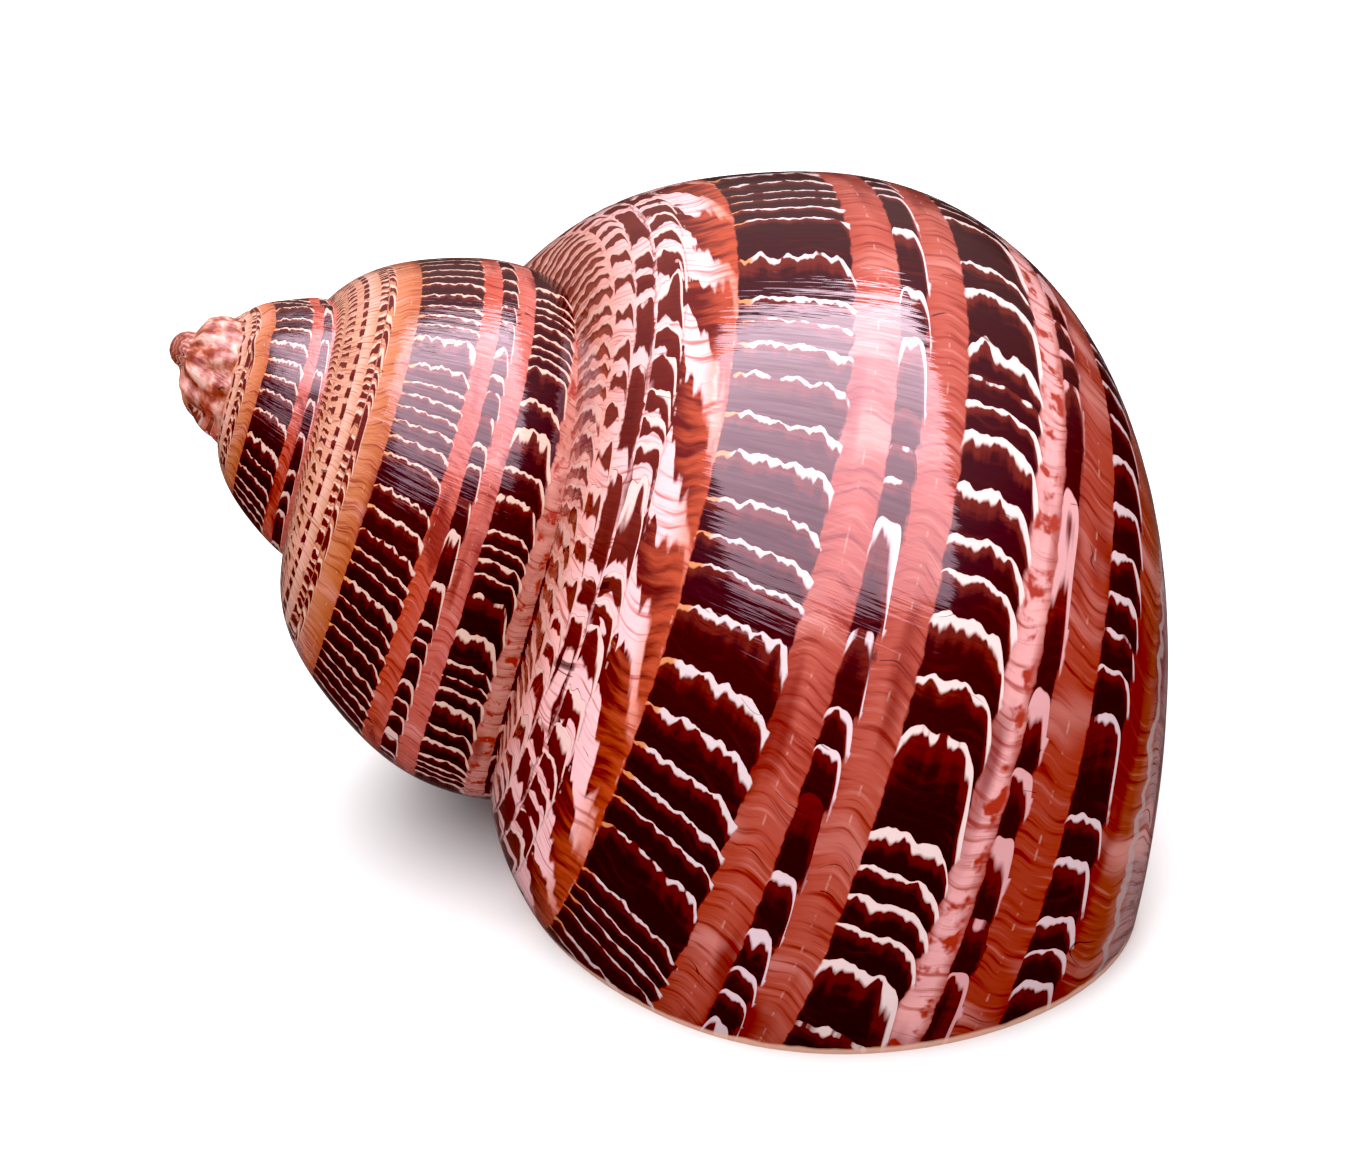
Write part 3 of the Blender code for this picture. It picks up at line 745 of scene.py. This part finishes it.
def nacre():
    # Mother of pearl, laid down in thin sheets: a pale satin gloss with faint green and rose drifts.
    made = bpy.data.materials.new("nacre")
    made.use_nodes = True
    tree = made.node_tree
    surface = tree.nodes["Principled BSDF"]
    surface.inputs["Roughness"].default_value = 0.2
    surface.inputs["IOR"].default_value = 1.6
    surface.inputs["Coat Weight"].default_value = 0.3
    surface.inputs["Coat Roughness"].default_value = 0.08
    position = node(tree, "TexCoord").node.outputs["Object"]
    drift = node(tree, "TexNoise", position, pearl["driftScale"], 3.0, None, None, pearl["distortion"])
    tree.links.new(bands(tree, drift, pearl["drifts"], (0.0, 1.0)), surface.inputs["Base Color"])
    sheets = node(tree, "TexNoise", position, pearl["sheetScale"], 2.0)
    bump = node(tree, "Bump", pearl["bump"], pearl["sheetHeight"], None, sheets)
    tree.links.new(bump, surface.inputs["Normal"])
    return made


def paper():
    # Seamless background paper: matt and nearly white, with the slightest mottling.
    made = bpy.data.materials.new("background_paper")
    made.use_nodes = True
    tree = made.node_tree
    surface = tree.nodes["Principled BSDF"]
    surface.inputs["Roughness"].default_value = 0.8
    fibres = node(tree, "TexNoise", None, 60.0, 3.0)
    tree.links.new(node(tree, "Mix", fibres, "#DBDADB", "#DFDEDF", **colours), surface.inputs["Base Color"])
    return made


shell.data.materials.clear()
shell.data.materials.append(polishedShell())
shell.data.materials.append(nacre())
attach(shell, "root")
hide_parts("shell")
print("materials done")

bpy.ops.mesh.primitive_plane_add(size=6, location=(0, 0, 0))
floor = bpy.context.object
floor.name = "pale_floor"
floor.data.materials.append(paper())
floor.visible_glossy = False     # as if dark cards stood round the shell, so its lower side stays deep

# The camera looks down on the shell from the side of its outer lip.
view = {
    "place": (0.03170, -0.13630, 0.08965), "right": (0.97699, 0.14556, -0.15591),
    "up": (0.06540, 0.49133, 0.86851), "forward": (-0.20302, 0.85872, -0.47051), "lens": 71.81,
}
camera = bpy.data.objects.new("camera", bpy.data.cameras.new("camera"))
scene.collection.objects.link(camera)
facing = Matrix((Vector(view["right"]), Vector(view["up"]), -Vector(view["forward"]))).transposed().to_4x4()
camera.matrix_world = Matrix.Translation(view["place"]) @ facing
camera.data.lens = view["lens"]
camera.data.sensor_width = 36
camera.data.clip_start = 0.01
scene.camera = camera

# One long softbox leans over the shell from the back, with its near edge low in front. It is brighter at
# its far end, against the mean, and that end is masked at a slant.
softbox = {
    "place": (0.01, 0.149, 0.59), "slope": (0.0, 0.813, 0.584), "width": 0.46, "length": 1.08,
    "watts": 11.3, "tint": (1.0, 0.97, 0.98), "far": 2.2, "near": 0.4, "cut": (0.54, 0.55), "cutSlant": 0.5,
}
light = bpy.data.lights.new("softbox", "AREA")
light.shape = "RECTANGLE"
light.size, light.size_y = softbox["width"], softbox["length"]
light.energy = softbox["watts"]
light.color = softbox["tint"]
light.use_nodes = True
inBox = node(light.node_tree, "NewGeometry").node.outputs["Parametric"]
acrossBox, alongBox, _ = node(light.node_tree, "SeparateXYZ", inBox).node.outputs
graded = node(light.node_tree, "MapRange", alongBox, 0.0, 1.0, softbox["near"], softbox["far"])
slanted = node(light.node_tree, "Math", acrossBox, -softbox["cutSlant"], alongBox, **timesPlus)
unmasked = node(light.node_tree, "MapRange", slanted, *softbox["cut"], 1.0, 0.0, **smooth)
brightness = node(light.node_tree, "Math", graded, unmasked, **times)
light.node_tree.links.new(brightness, light.node_tree.nodes["Emission"].inputs["Strength"])
slope = Vector(softbox["slope"]).normalized()
level = Vector((1, 0, 0))
lamp = bpy.data.objects.new("softbox", light)
leaning = Matrix((level, slope, level.cross(slope))).transposed().to_4x4()
lamp.matrix_world = Matrix.Translation(softbox["place"]) @ leaning
scene.collection.objects.link(lamp)

# The studio round the shell is dark near the floor and light overhead.
studio = {"heights": (-0.1, 0.9), "strengths": (0.08, 0.9)}
world = bpy.data.worlds.new("studio")
scene.world = world
world.use_nodes = True
skyward = node(world.node_tree, "TexCoord").node.outputs["Generated"]
height = node(world.node_tree, "SeparateXYZ", skyward).node.outputs["Z"]
glow = node(world.node_tree, "MapRange", height, *studio["heights"], *studio["strengths"])
backdrop = world.node_tree.nodes["Background"]
backdrop.inputs["Color"].default_value = (1, 1, 1, 1)
world.node_tree.links.new(glow, backdrop.inputs["Strength"])
scene.view_settings.view_transform = "Standard"
scene.view_settings.use_curve_mapping = True
levels = scene.view_settings.curve_mapping
levels.black_level = (0.018, 0.03, 0.03)    # deep blacks, as the print of a studio photograph has
levels.update()
